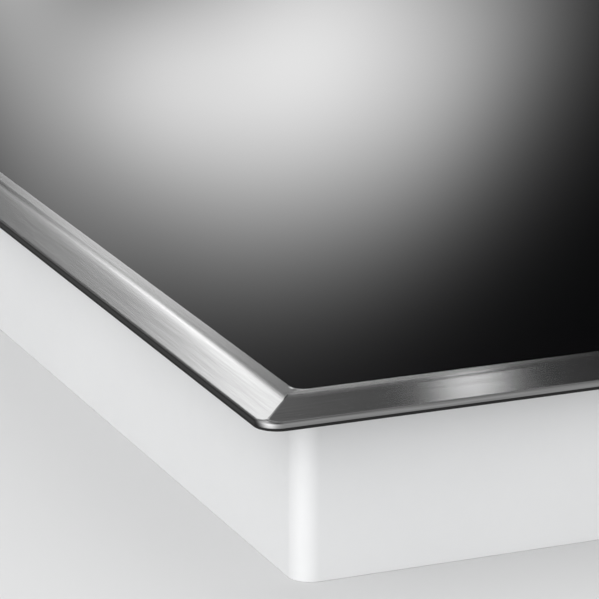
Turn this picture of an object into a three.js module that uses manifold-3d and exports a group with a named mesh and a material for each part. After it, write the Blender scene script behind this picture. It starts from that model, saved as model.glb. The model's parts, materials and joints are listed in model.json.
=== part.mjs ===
// Built-in electric induction cooktop of the 60 cm class: black glass-ceramic in a bevelled steel
// trim frame, over a sheet-steel housing with four coils, two blowers and their electronics.
// Millimetres, +Z up. The origin is the centre of the housing's underside, and the front is -Y.

import Module from 'manifold-3d';
import * as THREE from 'three';
import { mergeVertices } from 'three/addons/utils/BufferGeometryUtils.js';

const wasm = await Module();
wasm.setup();

// ---------------------------------------------------------------- driving dimensions

const FRAME_LENGTH = 582;
const FRAME_DEPTH = 512;
const OVERALL_HEIGHT = 50;

const GAP = 0.1;                 // between pieces that rest on each other
const ROUND_SIDES = 28;
const CORNER_STEPS = 4;
const HOUSING_CORNER_STEPS = 8;

// trim frame, from the glass outwards
const LIP_WIDTH = 4;
const BEVEL_WIDTH = 10.3;
const BEVEL_DROP = 2.7;
const BAND_HEIGHT = 1.45;
const LIP_THICKNESS = 0.4;
const FRAME_SKIN = 0.8;
const FRAME_OUTER_RADIUS = 6.4;
const FRAME_INNER_RADIUS = 3.6;

// glass and what holds it
const GLASS_THICKNESS = 4;
const GLASS_UNDER_LIP = 3.3;
const SEAL_THICKNESS = 0.7;
const SEAL_WIDTH = 8.7;
const BOND_THICKNESS = 0.5;
const CARRIER_SHEET = 0.8;
const CARRIER_FLANGE = 14;

// housing
const HOUSING_LENGTH = 552;
const HOUSING_DEPTH = 482;
const HOUSING_RADIUS = 6;
const SHEET = 1;

// mounting clamps
const CLAMP_X = 150;
const POCKET_HALF_LENGTH = 35;
const POCKET_DEPTH = 30;
const POCKET_HEIGHT = 8;
const PIVOT_OFFSET = 25;
const PIVOT_INSET = 14;
const PIVOT_HOLE_RADIUS = 2.8;
const CLAMP_HALF_WIDTH = 8;
const CLAMP_REACH = 52;

// coils
const COIL_X = 137;
const FRONT_COIL_Y = -80;
const REAR_COIL_Y = 118;
const SENSOR_HOLE_RADIUS = 11;
const WINDING_INNER_RADIUS = 22;
const COIL_PLATE_THICKNESS = 1.5;

// electronics
const BOARD_THICKNESS = 1.6;
const BOARD_Z = 9;
const POWER_BOARD_Y = [-60, 106];
const FILTER_BOARD_X = [-165, -24];
const FILTER_BOARD_Y = [116, 182];
const FAN_Y = 168;

// ---------------------------------------------------------------- derived levels and outlines

const HALF_LENGTH = FRAME_LENGTH / 2;
const HALF_DEPTH = FRAME_DEPTH / 2;
const FRAME_WIDTH = LIP_WIDTH + BEVEL_WIDTH;

const FOLD_Z = OVERALL_HEIGHT - BEVEL_DROP;
const FRAME_BOTTOM_Z = FOLD_Z - BAND_HEIGHT;
const SEAL_TOP_Z = FRAME_BOTTOM_Z - GAP;
const WORKTOP_Z = SEAL_TOP_Z - SEAL_THICKNESS;

const GLASS_TOP_Z = OVERALL_HEIGHT - LIP_THICKNESS - GAP;
const GLASS_BOTTOM_Z = GLASS_TOP_Z - GLASS_THICKNESS;
const GLASS_HALF_LENGTH = HALF_LENGTH - FRAME_WIDTH + GLASS_UNDER_LIP;
const GLASS_HALF_DEPTH = HALF_DEPTH - FRAME_WIDTH + GLASS_UNDER_LIP;

const BOND_TOP_Z = GLASS_BOTTOM_Z - GAP;
const CARRIER_TOP_Z = BOND_TOP_Z - BOND_THICKNESS - GAP;
const HOUSING_TOP_Z = CARRIER_TOP_Z - CARRIER_SHEET - GAP;
const HOUSING_HALF_LENGTH = HOUSING_LENGTH / 2;
const HOUSING_HALF_DEPTH = HOUSING_DEPTH / 2;

const MICA_TOP_Z = GLASS_BOTTOM_Z - 2 * GAP;
const MICA_THICKNESS = 0.5;
const WINDING_TOP_Z = MICA_TOP_Z - MICA_THICKNESS - GAP;
const WINDING_HEIGHT = 3.6;
const CARRIER_DISC_TOP_Z = WINDING_TOP_Z - WINDING_HEIGHT - GAP;
const CARRIER_DISC_HEIGHT = 2.8;
const COIL_PLATE_TOP_Z = CARRIER_DISC_TOP_Z - CARRIER_DISC_HEIGHT - GAP;

const BOARD_TOP_Z = BOARD_Z + BOARD_THICKNESS;
const PART_ON_BOARD_Z = BOARD_TOP_Z + GAP;

// ---------------------------------------------------------------- geometry helpers

function block([x0, x1], [y0, y1], [z0, z1]) {
  const geometry = new THREE.BoxGeometry(x1 - x0, y1 - y0, z1 - z0);
  return geometry.translate((x0 + x1) / 2, (y0 + y1) / 2, (z0 + z1) / 2);
}

// Works on a Shape and on the Path of a hole.
function traceRoundedRectangle(path, halfX, halfY, radius) {
  const quarter = Math.PI / 2;
  const corners = [[1, 1, 0], [-1, 1, 1], [-1, -1, 2], [1, -1, 3]];
  for (const [signX, signY, turn] of corners) {
    const centreX = signX * (halfX - radius);
    const centreY = signY * (halfY - radius);
    path.absarc(centreX, centreY, radius, turn * quarter, (turn + 1) * quarter, false);
  }
  path.closePath();
  return path;
}

function roundedRectangle(halfX, halfY, radius) {
  return traceRoundedRectangle(new THREE.Shape(), halfX, halfY, radius);
}

function slab(shape, [z0, z1], cornerSteps = CORNER_STEPS) {
  const options = { depth: z1 - z0, bevelEnabled: false, curveSegments: cornerSteps };
  return new THREE.ExtrudeGeometry(shape, options).translate(0, 0, z0);
}

// A flat rectangular band between two rounded outlines, each given as [halfX, halfY, radius].
function band(outer, inner, heights) {
  const shape = roundedRectangle(...outer);
  shape.holes.push(traceRoundedRectangle(new THREE.Path(), ...inner));
  return slab(shape, heights);
}

function disc(radius, [z0, z1], [x, y] = [0, 0], sides = ROUND_SIDES) {
  const geometry = new THREE.CylinderGeometry(radius, radius, z1 - z0, sides);
  return geometry.rotateX(Math.PI / 2).translate(x, y, (z0 + z1) / 2);
}

// Turns a closed outline of [radius, height] points about the vertical through (x, y).
function turned(outline, [x, y] = [0, 0], sides = ROUND_SIDES) {
  const points = [...outline, outline[0]].map(([radius, height]) => new THREE.Vector2(radius, height));
  return new THREE.LatheGeometry(points, sides).rotateX(Math.PI / 2).translate(x, y, 0);
}

function washer(outerRadius, innerRadius, [z0, z1], centre, sides = ROUND_SIDES) {
  const outline = [[innerRadius, z0], [outerRadius, z0], [outerRadius, z1], [innerRadius, z1]];
  return turned(outline, centre, sides);
}

function tubeAlong(points, radius, steps) {
  const section = new THREE.Shape().absarc(0, 0, radius, 0, Math.PI * 2, false);
  const curve = new THREE.CatmullRomCurve3(points.map((point) => new THREE.Vector3(...point)));
  return new THREE.ExtrudeGeometry(section, { steps, curveSegments: 4, extrudePath: curve });
}

// ---------------------------------------------------------------- joining and cutting

function solid(geometry) {
  const bare = geometry.clone();
  bare.deleteAttribute('normal');
  bare.deleteAttribute('uv');
  const merged = mergeVertices(bare, 1e-4);
  return new wasm.Manifold(new wasm.Mesh({
    numProp: 3,
    vertProperties: merged.attributes.position.array,
    triVerts: new Uint32Array(merged.index.array),
  }));
}

function join(geometries) {
  return geometries.map(solid).reduce((whole, piece) => whole.add(piece));
}

function geometryOf(manifold) {
  const { vertProperties, triVerts } = manifold.getMesh();
  const geometry = new THREE.BufferGeometry();
  geometry.setAttribute('position', new THREE.BufferAttribute(vertProperties, 3));
  geometry.setIndex(new THREE.BufferAttribute(triVerts, 1));
  geometry.computeVertexNormals();
  return geometry;
}

function joined(geometries) {
  return geometryOf(join(geometries));
}

function cut(bodies, tools) {
  return geometryOf(join(bodies).subtract(join(tools)));
}

// ---------------------------------------------------------------- materials

function finish(color, roughness, metalness) {
  return () => new THREE.MeshStandardMaterial({ color, roughness, metalness });
}

const blackGlass = finish(0x0b0c0e, 0.05, 0);
const brushedSteel = finish(0xb9bbbe, 0.32, 1);
const galvanisedSteel = finish(0xd3d6d8, 0.4, 0.9);
const zincPlated = finish(0xa9acae, 0.35, 1);
const aluminium = finish(0xc2c5c8, 0.4, 1);
const blackRubber = finish(0x141414, 0.9, 0);
const greySilicone = finish(0x55585b, 0.7, 0);
const blackPlastic = finish(0x1c1d1f, 0.55, 0);
const whitePlastic = finish(0xdedfdc, 0.5, 0);
const copperLitz = finish(0xa8623a, 0.5, 0.4);
const mica = finish(0xcfc3a4, 0.6, 0);
const circuitBoard = finish(0x1f5a34, 0.5, 0);
const filmCapacitor = finish(0x8c1f1a, 0.45, 0);
const ferrite = finish(0x2b2c2e, 0.6, 0);
const wireSleeve = finish(0x303338, 0.6, 0);

// ---------------------------------------------------------------- scene graph

const cooktop = new THREE.Group();

function place(name, geometry, material, group = cooktop) {
  const mesh = new THREE.Mesh(geometry, material());
  mesh.name = name;
  group.add(mesh);
}

// ---------------------------------------------------------------- glass and trim frame

// A rectangular block with a sloped shoulder all round; its corners are straight mitres.
function shoulderedBlock(inset, topZ) {
  const halfX = HALF_LENGTH - inset - BEVEL_WIDTH;
  const halfY = HALF_DEPTH - inset - BEVEL_WIDTH;
  const shape = new THREE.Shape();
  shape.moveTo(-halfX, -halfY).lineTo(halfX, -halfY).lineTo(halfX, halfY).lineTo(-halfX, halfY);
  shape.closePath();
  const depth = topZ - BEVEL_DROP;
  const geometry = new THREE.ExtrudeGeometry(shape, {
    depth,
    bevelEnabled: true,
    bevelSegments: 1,
    bevelSize: BEVEL_WIDTH,
    bevelThickness: BEVEL_DROP,
  });
  return solid(geometry);
}

const aboveSeal = block(
  [-FRAME_LENGTH, FRAME_LENGTH],
  [-FRAME_DEPTH, FRAME_DEPTH],
  [FRAME_BOTTOM_Z, OVERALL_HEIGHT + 1],
);

function glassPocket(clearance, topZ) {
  const halfX = GLASS_HALF_LENGTH + clearance;
  const halfY = GLASS_HALF_DEPTH + clearance;
  return solid(slab(roundedRectangle(halfX, halfY, FRAME_INNER_RADIUS), [0, topZ]));
}

function trimFrame() {
  const outline = slab(roundedRectangle(HALF_LENGTH, HALF_DEPTH, FRAME_OUTER_RADIUS), [0, OVERALL_HEIGHT]);
  const opening = slab(
    roundedRectangle(HALF_LENGTH - FRAME_WIDTH, HALF_DEPTH - FRAME_WIDTH, FRAME_INNER_RADIUS),
    [0, OVERALL_HEIGHT + 1],
  );
  const hollowOutline = slab(
    roundedRectangle(HALF_LENGTH - FRAME_SKIN, HALF_DEPTH - FRAME_SKIN, FRAME_OUTER_RADIUS - FRAME_SKIN),
    [0, OVERALL_HEIGHT],
  );
  const hollow = shoulderedBlock(FRAME_SKIN, OVERALL_HEIGHT - FRAME_SKIN).intersect(solid(hollowOutline));
  return geometryOf(shoulderedBlock(0, OVERALL_HEIGHT)
    .intersect(solid(outline))
    .intersect(solid(aboveSeal))
    .subtract(hollow)
    .subtract(glassPocket(3 * GAP, OVERALL_HEIGHT - LIP_THICKNESS))
    .subtract(solid(opening)));
}

// The silicone that fills the hollow between the glass edge and the folded frame.
function frameBond() {
  const inset = FRAME_SKIN + 3 * GAP;
  const outline = slab(
    roundedRectangle(HALF_LENGTH - inset, HALF_DEPTH - inset, FRAME_OUTER_RADIUS - inset),
    [0, OVERALL_HEIGHT],
  );
  return geometryOf(shoulderedBlock(inset, OVERALL_HEIGHT - inset)
    .intersect(solid(outline))
    .intersect(solid(aboveSeal))
    .subtract(glassPocket(2 * GAP, OVERALL_HEIGHT)));
}

function addTop() {
  const glass = roundedRectangle(GLASS_HALF_LENGTH, GLASS_HALF_DEPTH, FRAME_INNER_RADIUS);
  place('glass_ceramic_top', slab(glass, [GLASS_BOTTOM_Z, GLASS_TOP_Z]), blackGlass);
  place('trim_frame', trimFrame(), brushedSteel);
  place('frame_bond', frameBond(), greySilicone);

  const sealEdge = 0.3;
  const sealInner = sealEdge + SEAL_WIDTH;
  place('worktop_seal', band(
    [HALF_LENGTH - sealEdge, HALF_DEPTH - sealEdge, FRAME_OUTER_RADIUS - sealEdge],
    [HALF_LENGTH - sealInner, HALF_DEPTH - sealInner, FRAME_INNER_RADIUS],
    [WORKTOP_Z, SEAL_TOP_Z],
  ), blackRubber);
}

// ---------------------------------------------------------------- glass carrier and housing

// The steel angle that is bonded under the glass and that the housing is screwed to.
function addCarrierFrame() {
  const flangeZ = [CARRIER_TOP_Z - CARRIER_SHEET, CARRIER_TOP_Z];
  const flange = band(
    [HOUSING_HALF_LENGTH, HOUSING_HALF_DEPTH, HOUSING_RADIUS],
    [HOUSING_HALF_LENGTH - CARRIER_FLANGE, HOUSING_HALF_DEPTH - CARRIER_FLANGE, HOUSING_RADIUS],
    flangeZ,
  );
  const legInset = SHEET + 2 * GAP;
  const legDepth = 7;
  const leg = band(
    [HOUSING_HALF_LENGTH - legInset, HOUSING_HALF_DEPTH - legInset, HOUSING_RADIUS - legInset],
    [
      HOUSING_HALF_LENGTH - legInset - CARRIER_SHEET,
      HOUSING_HALF_DEPTH - legInset - CARRIER_SHEET,
      HOUSING_RADIUS - legInset - CARRIER_SHEET,
    ],
    [flangeZ[0] - legDepth, flangeZ[0]],
  );
  place('glass_carrier_frame', joined([flange, leg]), galvanisedSteel);

  const beadInset = 1;
  place('carrier_bond', band(
    [HOUSING_HALF_LENGTH - beadInset, HOUSING_HALF_DEPTH - beadInset, HOUSING_RADIUS],
    [
      HOUSING_HALF_LENGTH - CARRIER_FLANGE + beadInset,
      HOUSING_HALF_DEPTH - CARRIER_FLANGE + beadInset,
      HOUSING_RADIUS,
    ],
    [BOND_TOP_Z - BOND_THICKNESS, BOND_TOP_Z],
  ), greySilicone);
}

// Each clamp sits in a pocket of the housing floor, at the front or the rear edge.
const clampSites = [
  { name: 'front_left', x: -CLAMP_X, side: -1, along: -1 },
  { name: 'front_right', x: CLAMP_X, side: -1, along: 1 },
  { name: 'rear_left', x: -CLAMP_X, side: 1, along: -1 },
  { name: 'rear_right', x: CLAMP_X, side: 1, along: 1 },
];

function pivotOf(site) {
  return [site.x - site.along * PIVOT_OFFSET, site.side * (HOUSING_HALF_DEPTH - PIVOT_INSET)];
}

function pocketBlock(site, wall, z) {
  const outside = site.side * (HOUSING_HALF_DEPTH + SHEET * (1 - wall));
  const inside = site.side * (HOUSING_HALF_DEPTH - POCKET_DEPTH - wall);
  const halfLength = POCKET_HALF_LENGTH + wall;
  const ends = [outside, inside].sort((a, b) => a - b);
  return block([site.x - halfLength, site.x + halfLength], ends, z);
}

const TERMINAL_OPENING = { x: [-20, 80], z: [2, 36] };
const GROMMET_AT = { x: 94, z: 19 };
const GROMMET_NECK_RADIUS = 9.7;

// The fan centres are also the centres of the air inlets in the floor.
const modules = [
  { side: 'left', fanX: -215, board: [-262, -40] },
  { side: 'right', fanX: 195, board: [34, 256] },
];

function inletSlots(fanX) {
  const slotWidth = 3;
  const pitch = 7;
  const reach = 25;
  const slots = [];
  for (let offset = -3 * pitch; offset <= 3 * pitch; offset += pitch) {
    const halfSlot = Math.sqrt(reach ** 2 - offset ** 2);
    const x = [fanX + offset - slotWidth / 2, fanX + offset + slotWidth / 2];
    slots.push(block(x, [FAN_Y - halfSlot, FAN_Y + halfSlot], [-1, SHEET + 1]));
  }
  return slots;
}

function outletSlots(centreX) {
  const slotWidth = 3;
  const slotY = [-198, -158];
  const pitch = 9;
  const count = 10;
  const slots = [];
  for (let index = 0; index < count; index += 1) {
    const x = centreX + (index - (count - 1) / 2) * pitch;
    slots.push(block([x - slotWidth / 2, x + slotWidth / 2], slotY, [-1, SHEET + 1]));
  }
  return slots;
}

function bottomHousing() {
  const outline = roundedRectangle(HOUSING_HALF_LENGTH, HOUSING_HALF_DEPTH, HOUSING_RADIUS);
  const insideOutline = roundedRectangle(
    HOUSING_HALF_LENGTH - SHEET,
    HOUSING_HALF_DEPTH - SHEET,
    HOUSING_RADIUS - SHEET,
  );
  const shell = slab(outline, [0, HOUSING_TOP_Z], HOUSING_CORNER_STEPS);
  const inner = slab(insideOutline, [SHEET, HOUSING_TOP_Z + 1], HOUSING_CORNER_STEPS);
  const pocketSkins = clampSites.map((site) => pocketBlock(site, SHEET, [0, POCKET_HEIGHT + SHEET]));
  const hollow = solid(inner).subtract(join(pocketSkins));
  const openings = clampSites.map((site) => pocketBlock(site, 0, [-1, POCKET_HEIGHT]));
  for (const site of clampSites) {
    openings.push(disc(PIVOT_HOLE_RADIUS, [0, POCKET_HEIGHT + 2 * SHEET], pivotOf(site), 16));
  }
  for (const { fanX } of modules) {
    openings.push(...inletSlots(fanX));
  }
  openings.push(...outletSlots(-COIL_X), ...outletSlots(COIL_X));
  const wallSpan = [HOUSING_HALF_DEPTH - 2 * SHEET, HOUSING_HALF_DEPTH + SHEET];
  openings.push(block(TERMINAL_OPENING.x, wallSpan, TERMINAL_OPENING.z));
  const grommetHole = disc(GROMMET_NECK_RADIUS + 0.3, [-wallSpan[1], -wallSpan[0]], [0, 0], 24);
  openings.push(grommetHole.rotateX(Math.PI / 2).translate(GROMMET_AT.x, 0, GROMMET_AT.z));
  return geometryOf(solid(shell).subtract(hollow).subtract(join(openings)));
}

function addHousing() {
  place('bottom_housing', bottomHousing(), galvanisedSteel);
  const halfLength = 262;
  const sheetY = [-140, 204];
  const sheetZ = [SHEET + 0.2, SHEET + 0.6];
  const sheet = block([-halfLength, halfLength], sheetY, sheetZ);
  const inletRadius = 27;
  const inlets = modules.map(({ fanX }) => disc(inletRadius, [0, 3], [fanX, FAN_Y]));
  place('base_insulation', cut([sheet], inlets), blackPlastic);
}

// ---------------------------------------------------------------- mounting clamps

function clamp(site) {
  const [pivotX, pivotY] = pivotOf(site);
  const plateZ = [3.6, 5.4];
  const tabTop = 7.6;
  const tabLength = 2.5;
  const tip = CLAMP_REACH;
  const plate = block([0, tip], [-CLAMP_HALF_WIDTH, CLAMP_HALF_WIDTH], plateZ);
  const roundEnd = disc(CLAMP_HALF_WIDTH, plateZ, [0, 0], 24);
  const tab = block([tip - tabLength, tip], [-CLAMP_HALF_WIDTH, CLAMP_HALF_WIDTH], [plateZ[0], tabTop]);
  const hole = disc(PIVOT_HOLE_RADIUS, [plateZ[0] - 1, plateZ[1] + 1], [0, 0], 16);
  const geometry = cut([plate, roundEnd, tab], [hole]);
  const turn = site.along > 0 ? 0 : Math.PI;
  return geometry.rotateZ(turn).translate(pivotX, pivotY, 0);
}

function clampScrew(site) {
  const [pivotX, pivotY] = pivotOf(site);
  const headRadius = 4.6;
  const headZ = [0.8, 3.3];
  const shankRadius = 2.4;
  const shankTop = 16;
  const head = disc(headRadius, headZ, [0, 0], 6);
  const shank = disc(shankRadius, [headZ[1] - GAP, shankTop], [0, 0], 16);
  return joined([head, shank]).translate(pivotX, pivotY, 0);
}

function addClamps() {
  for (const site of clampSites) {
    place(`clamp_${site.name}`, clamp(site), zincPlated);
    place(`clamp_screw_${site.name}`, clampScrew(site), zincPlated);
  }
}

// ---------------------------------------------------------------- coils

const coils = [
  { name: 'front_left', centre: [-COIL_X, FRONT_COIL_Y], radius: 80 },
  { name: 'rear_left', centre: [-COIL_X, REAR_COIL_Y], radius: 80 },
  { name: 'front_right', centre: [COIL_X, FRONT_COIL_Y], radius: 64 },
  { name: 'rear_right', centre: [COIL_X, REAR_COIL_Y], radius: 92 },
];

function coilCarrier({ centre, radius }) {
  const zTop = CARRIER_DISC_TOP_Z;
  const zBottom = zTop - CARRIER_DISC_HEIGHT;
  const rim = 3;
  const body = washer(radius + rim, SENSOR_HOLE_RADIUS, [zBottom, zTop]);
  const windows = [];
  const windowCount = 8;
  const windowHalfWidth = 7;
  const windowInset = 6;
  for (let index = 0; index < windowCount; index += 1) {
    const window = block(
      [WINDING_INNER_RADIUS + windowInset, radius - windowInset],
      [-windowHalfWidth, windowHalfWidth],
      [zBottom - 1, zTop + 1],
    );
    windows.push(window.rotateZ(((index + 0.5) / windowCount) * Math.PI * 2));
  }
  return cut([body], windows).translate(...centre, 0);
}

function temperatureSensor({ centre }) {
  const footZ = COIL_PLATE_TOP_Z - 1;
  const bodyRadius = SENSOR_HOLE_RADIUS - 3;
  const tipRadius = 5;
  return turned([
    [0, footZ],
    [bodyRadius, footZ],
    [bodyRadius, WINDING_TOP_Z - 1],
    [tipRadius, WINDING_TOP_Z - 0.4],
    [tipRadius, MICA_TOP_Z],
    [0, MICA_TOP_Z],
  ], centre, 20);
}

function addCoils() {
  for (const coil of coils) {
    const { name, centre, radius } = coil;
    const windingZ = [WINDING_TOP_Z - WINDING_HEIGHT, WINDING_TOP_Z];
    const micaZ = [MICA_TOP_Z - MICA_THICKNESS, MICA_TOP_Z];
    place(`coil_carrier_${name}`, coilCarrier(coil), blackPlastic);
    place(`coil_winding_${name}`, washer(radius, WINDING_INNER_RADIUS, windingZ, centre), copperLitz);
    place(`mica_disc_${name}`, washer(radius + 2, SENSOR_HOLE_RADIUS - 3, micaZ, centre), mica);
    place(`temperature_sensor_${name}`, temperatureSensor(coil), whitePlastic);
  }
}

function addCoilPlates() {
  const plateHalfWidth = 125;
  const plateFront = 98;
  const plateRear = 108;
  const plateY = [FRONT_COIL_Y - plateFront, REAR_COIL_Y + plateRear];
  const plateZ = [COIL_PLATE_TOP_Z - COIL_PLATE_THICKNESS, COIL_PLATE_TOP_Z];
  for (const [side, sign] of [['left', -1], ['right', 1]]) {
    const centreX = sign * COIL_X;
    const plate = block([centreX - plateHalfWidth, centreX + plateHalfWidth], plateY, plateZ);
    const holes = [FRONT_COIL_Y, REAR_COIL_Y].map(
      (y) => disc(SENSOR_HOLE_RADIUS, [plateZ[0] - 1, plateZ[1] + 1], [centreX, y], 24),
    );
    place(`coil_plate_${side}`, cut([plate], holes), aluminium);
  }
}

// ---------------------------------------------------------------- blowers

const BLOWER_RADIUS = 40;
const BLOWER_WALL = 1.5;
const BLOWER_Z = [2.5, 30];
const OUTLET_LENGTH = 60;
const OUTLET_X = 3.5;
const IMPELLER_RADIUS = 31;
const HUB_RADIUS = 12.5;
const HUB_WALL = 1.5;
const SHAFT_RADIUS = 1.4;

function blowerHousing() {
  const [z0, z1] = BLOWER_Z;
  const inside = [z0 + BLOWER_WALL, z1 - BLOWER_WALL];
  const outer = [
    disc(BLOWER_RADIUS, BLOWER_Z),
    block([OUTLET_X - BLOWER_WALL, BLOWER_RADIUS], [-OUTLET_LENGTH, 0], BLOWER_Z),
  ];
  const airway = [
    disc(BLOWER_RADIUS - BLOWER_WALL, inside),
    block([OUTLET_X, BLOWER_RADIUS - BLOWER_WALL], [-OUTLET_LENGTH - 1, 0], inside),
    disc(IMPELLER_RADIUS - 4, [z0 - 1, z0 + BLOWER_WALL + 1]),
  ];
  return cut(outer, airway);
}

// A drum of forward-curved blades between a back plate and a rim, on a cup that turns round the motor.
function impeller() {
  const topZ = 25.5;
  const rimZ = 5;
  const cupZ = 8;
  const rimWidth = 2;
  const bladeZ = [rimZ + 1, topZ - 0.5];
  const bladeCount = 16;
  const bladeTilt = 0.5;
  const bladeLength = 7;
  const bladeHalfThickness = 0.6;
  const backPlate = washer(IMPELLER_RADIUS, HUB_RADIUS - HUB_WALL, [topZ - HUB_WALL, topZ]);
  const rim = washer(IMPELLER_RADIUS, IMPELLER_RADIUS - rimWidth, [rimZ, rimZ + HUB_WALL]);
  const cup = washer(HUB_RADIUS, HUB_RADIUS - HUB_WALL, [cupZ, topZ]);
  const cupFloor = washer(HUB_RADIUS, SHAFT_RADIUS + 0.2, [cupZ, cupZ + HUB_WALL]);
  const parts = [backPlate, rim, cup, cupFloor];
  for (let index = 0; index < bladeCount; index += 1) {
    const thickness = [-bladeHalfThickness, bladeHalfThickness];
    const blade = block([-bladeLength / 2, bladeLength / 2], thickness, bladeZ);
    blade.rotateZ(bladeTilt).translate(IMPELLER_RADIUS - 4, 0, 0);
    parts.push(blade.rotateZ((index / bladeCount) * Math.PI * 2));
  }
  return joined(parts);
}

function fanMotor() {
  const statorZ = [10.5, BLOWER_Z[1] - BLOWER_WALL - GAP];
  const shaftZ = [7, 11];
  const stator = disc(HUB_RADIUS - HUB_WALL - 1, statorZ, [0, 0], 20);
  const shaft = disc(SHAFT_RADIUS, shaftZ, [0, 0], 16);
  return joined([stator, shaft]);
}

function addBlowers() {
  for (const { side, fanX } of modules) {
    place(`fan_housing_${side}`, blowerHousing().translate(fanX, FAN_Y, 0), blackPlastic);
    place(`fan_impeller_${side}`, impeller().translate(fanX, FAN_Y, 0), blackPlastic);
    place(`fan_motor_${side}`, fanMotor().translate(fanX, FAN_Y, 0), zincPlated);
  }
}

// ---------------------------------------------------------------- power electronics

const SINK_WIDTH = 46;
const SINK_Y = [-16, 105];
const SINK_HEIGHT = 19;

// An extrusion with upright fins, lying along the blower's air stream.
function heatSink(fanX) {
  const baseThickness = 4;
  const finCount = 8;
  const finThickness = 1.6;
  const pitch = (SINK_WIDTH - finThickness) / (finCount - 1);
  const profile = new THREE.Shape();
  profile.moveTo(0, 0).lineTo(SINK_WIDTH, 0);
  for (let index = finCount - 1; index >= 0; index -= 1) {
    const left = index * pitch;
    profile.lineTo(left + finThickness, SINK_HEIGHT).lineTo(left, SINK_HEIGHT);
    if (index > 0) {
      profile.lineTo(left, baseThickness).lineTo(left - pitch + finThickness, baseThickness);
    }
  }
  profile.closePath();
  const options = { depth: SINK_Y[1] - SINK_Y[0], bevelEnabled: false };
  const geometry = new THREE.ExtrudeGeometry(profile, options).rotateX(Math.PI / 2);
  const centreX = fanX + (OUTLET_X + BLOWER_RADIUS - BLOWER_WALL) / 2;
  return geometry.translate(centreX - SINK_WIDTH / 2, SINK_Y[1], PART_ON_BOARD_Z);
}

function addPowerModules() {
  for (const { side, fanX, board } of modules) {
    const boardZ = [BOARD_Z, BOARD_TOP_Z];
    place(`power_board_${side}`, block(board, POWER_BOARD_Y, boardZ), circuitBoard);
    place(`heat_sink_${side}`, heatSink(fanX), aluminium);
    const capacitorX = [board[0] + 98, board[0] + 140];
    const capacitorY = [40, 62];
    const capacitorZ = [PART_ON_BOARD_Z, PART_ON_BOARD_Z + 22];
    const capacitor = block(capacitorX, capacitorY, capacitorZ);
    place(`dc_link_capacitor_${side}`, capacitor, filmCapacitor);
  }
}

function addFilter() {
  const boardZ = [BOARD_Z, BOARD_TOP_Z];
  place('filter_board', block(FILTER_BOARD_X, FILTER_BOARD_Y, boardZ), circuitBoard);
  const coreRadius = 15;
  const coreThickness = 5;
  const chokeAt = [-138, 150];
  const chokeOutline = new THREE.Shape().absarc(coreRadius, 0, coreThickness, 0, Math.PI * 2, false);
  const chokePoints = chokeOutline.getPoints(4).slice(0, -1).map(({ x, y }) => [x, y]);
  const choke = turned(chokePoints, [0, 0], 24);
  place('filter_choke', choke.translate(...chokeAt, PART_ON_BOARD_Z + coreThickness), ferrite);
  const capacitorX = [-88, -56];
  const capacitorY = [142, 156];
  const capacitorZ = [PART_ON_BOARD_Z, PART_ON_BOARD_Z + 18];
  place('filter_capacitor', block(capacitorX, capacitorY, capacitorZ), filmCapacitor);
}

// ---------------------------------------------------------------- touch control

function addControls() {
  const floorZ = 36.4;
  const boardZ = floorZ + 2;
  const boardTop = boardZ + BOARD_THICKNESS;
  const rimZ = GLASS_BOTTOM_Z - 0.6;
  const halfLength = 130;
  const holderY = [-225, -186];
  const wall = 2.5;
  const clearance = 0.5;
  const trayX = [wall - halfLength, halfLength - wall];
  const trayY = [holderY[0] + wall, holderY[1] - wall];
  const notchX = [-66, -54];
  const notchY = [-190, -185];
  const outer = block([-halfLength, halfLength], holderY, [floorZ, rimZ]);
  const tray = block(trayX, trayY, [boardZ - GAP, GLASS_BOTTOM_Z]);
  const cableNotch = block(notchX, notchY, [boardTop, GLASS_BOTTOM_Z]);
  place('control_board_holder', cut([outer], [tray, cableNotch]), blackPlastic);

  const boardX = [trayX[0] + clearance, trayX[1] - clearance];
  const boardY = [trayY[0] + clearance, trayY[1] - clearance];
  place('control_board', block(boardX, boardY, [boardZ, boardTop]), circuitBoard);
  const displayX = [-34, 34];
  const displayY = [-212, -198];
  const display = block(displayX, displayY, [boardTop + GAP, GLASS_BOTTOM_Z - 0.4]);
  place('display_module', display, whitePlastic);
}

// ---------------------------------------------------------------- mains connection

const COLLAR_Y = 236;
const COVER_AXIS = { y: 239.6, z: 6.2 };
const PINTLE_RADIUS = 1.1;
const WIRE_EXIT = { x: -6, z: 26 };

function barAlongX(radius, [x0, x1], y, z, sides = 16) {
  const geometry = new THREE.CylinderGeometry(radius, radius, x1 - x0, sides);
  return geometry.rotateZ(Math.PI / 2).translate((x0 + x1) / 2, y, z);
}

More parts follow.
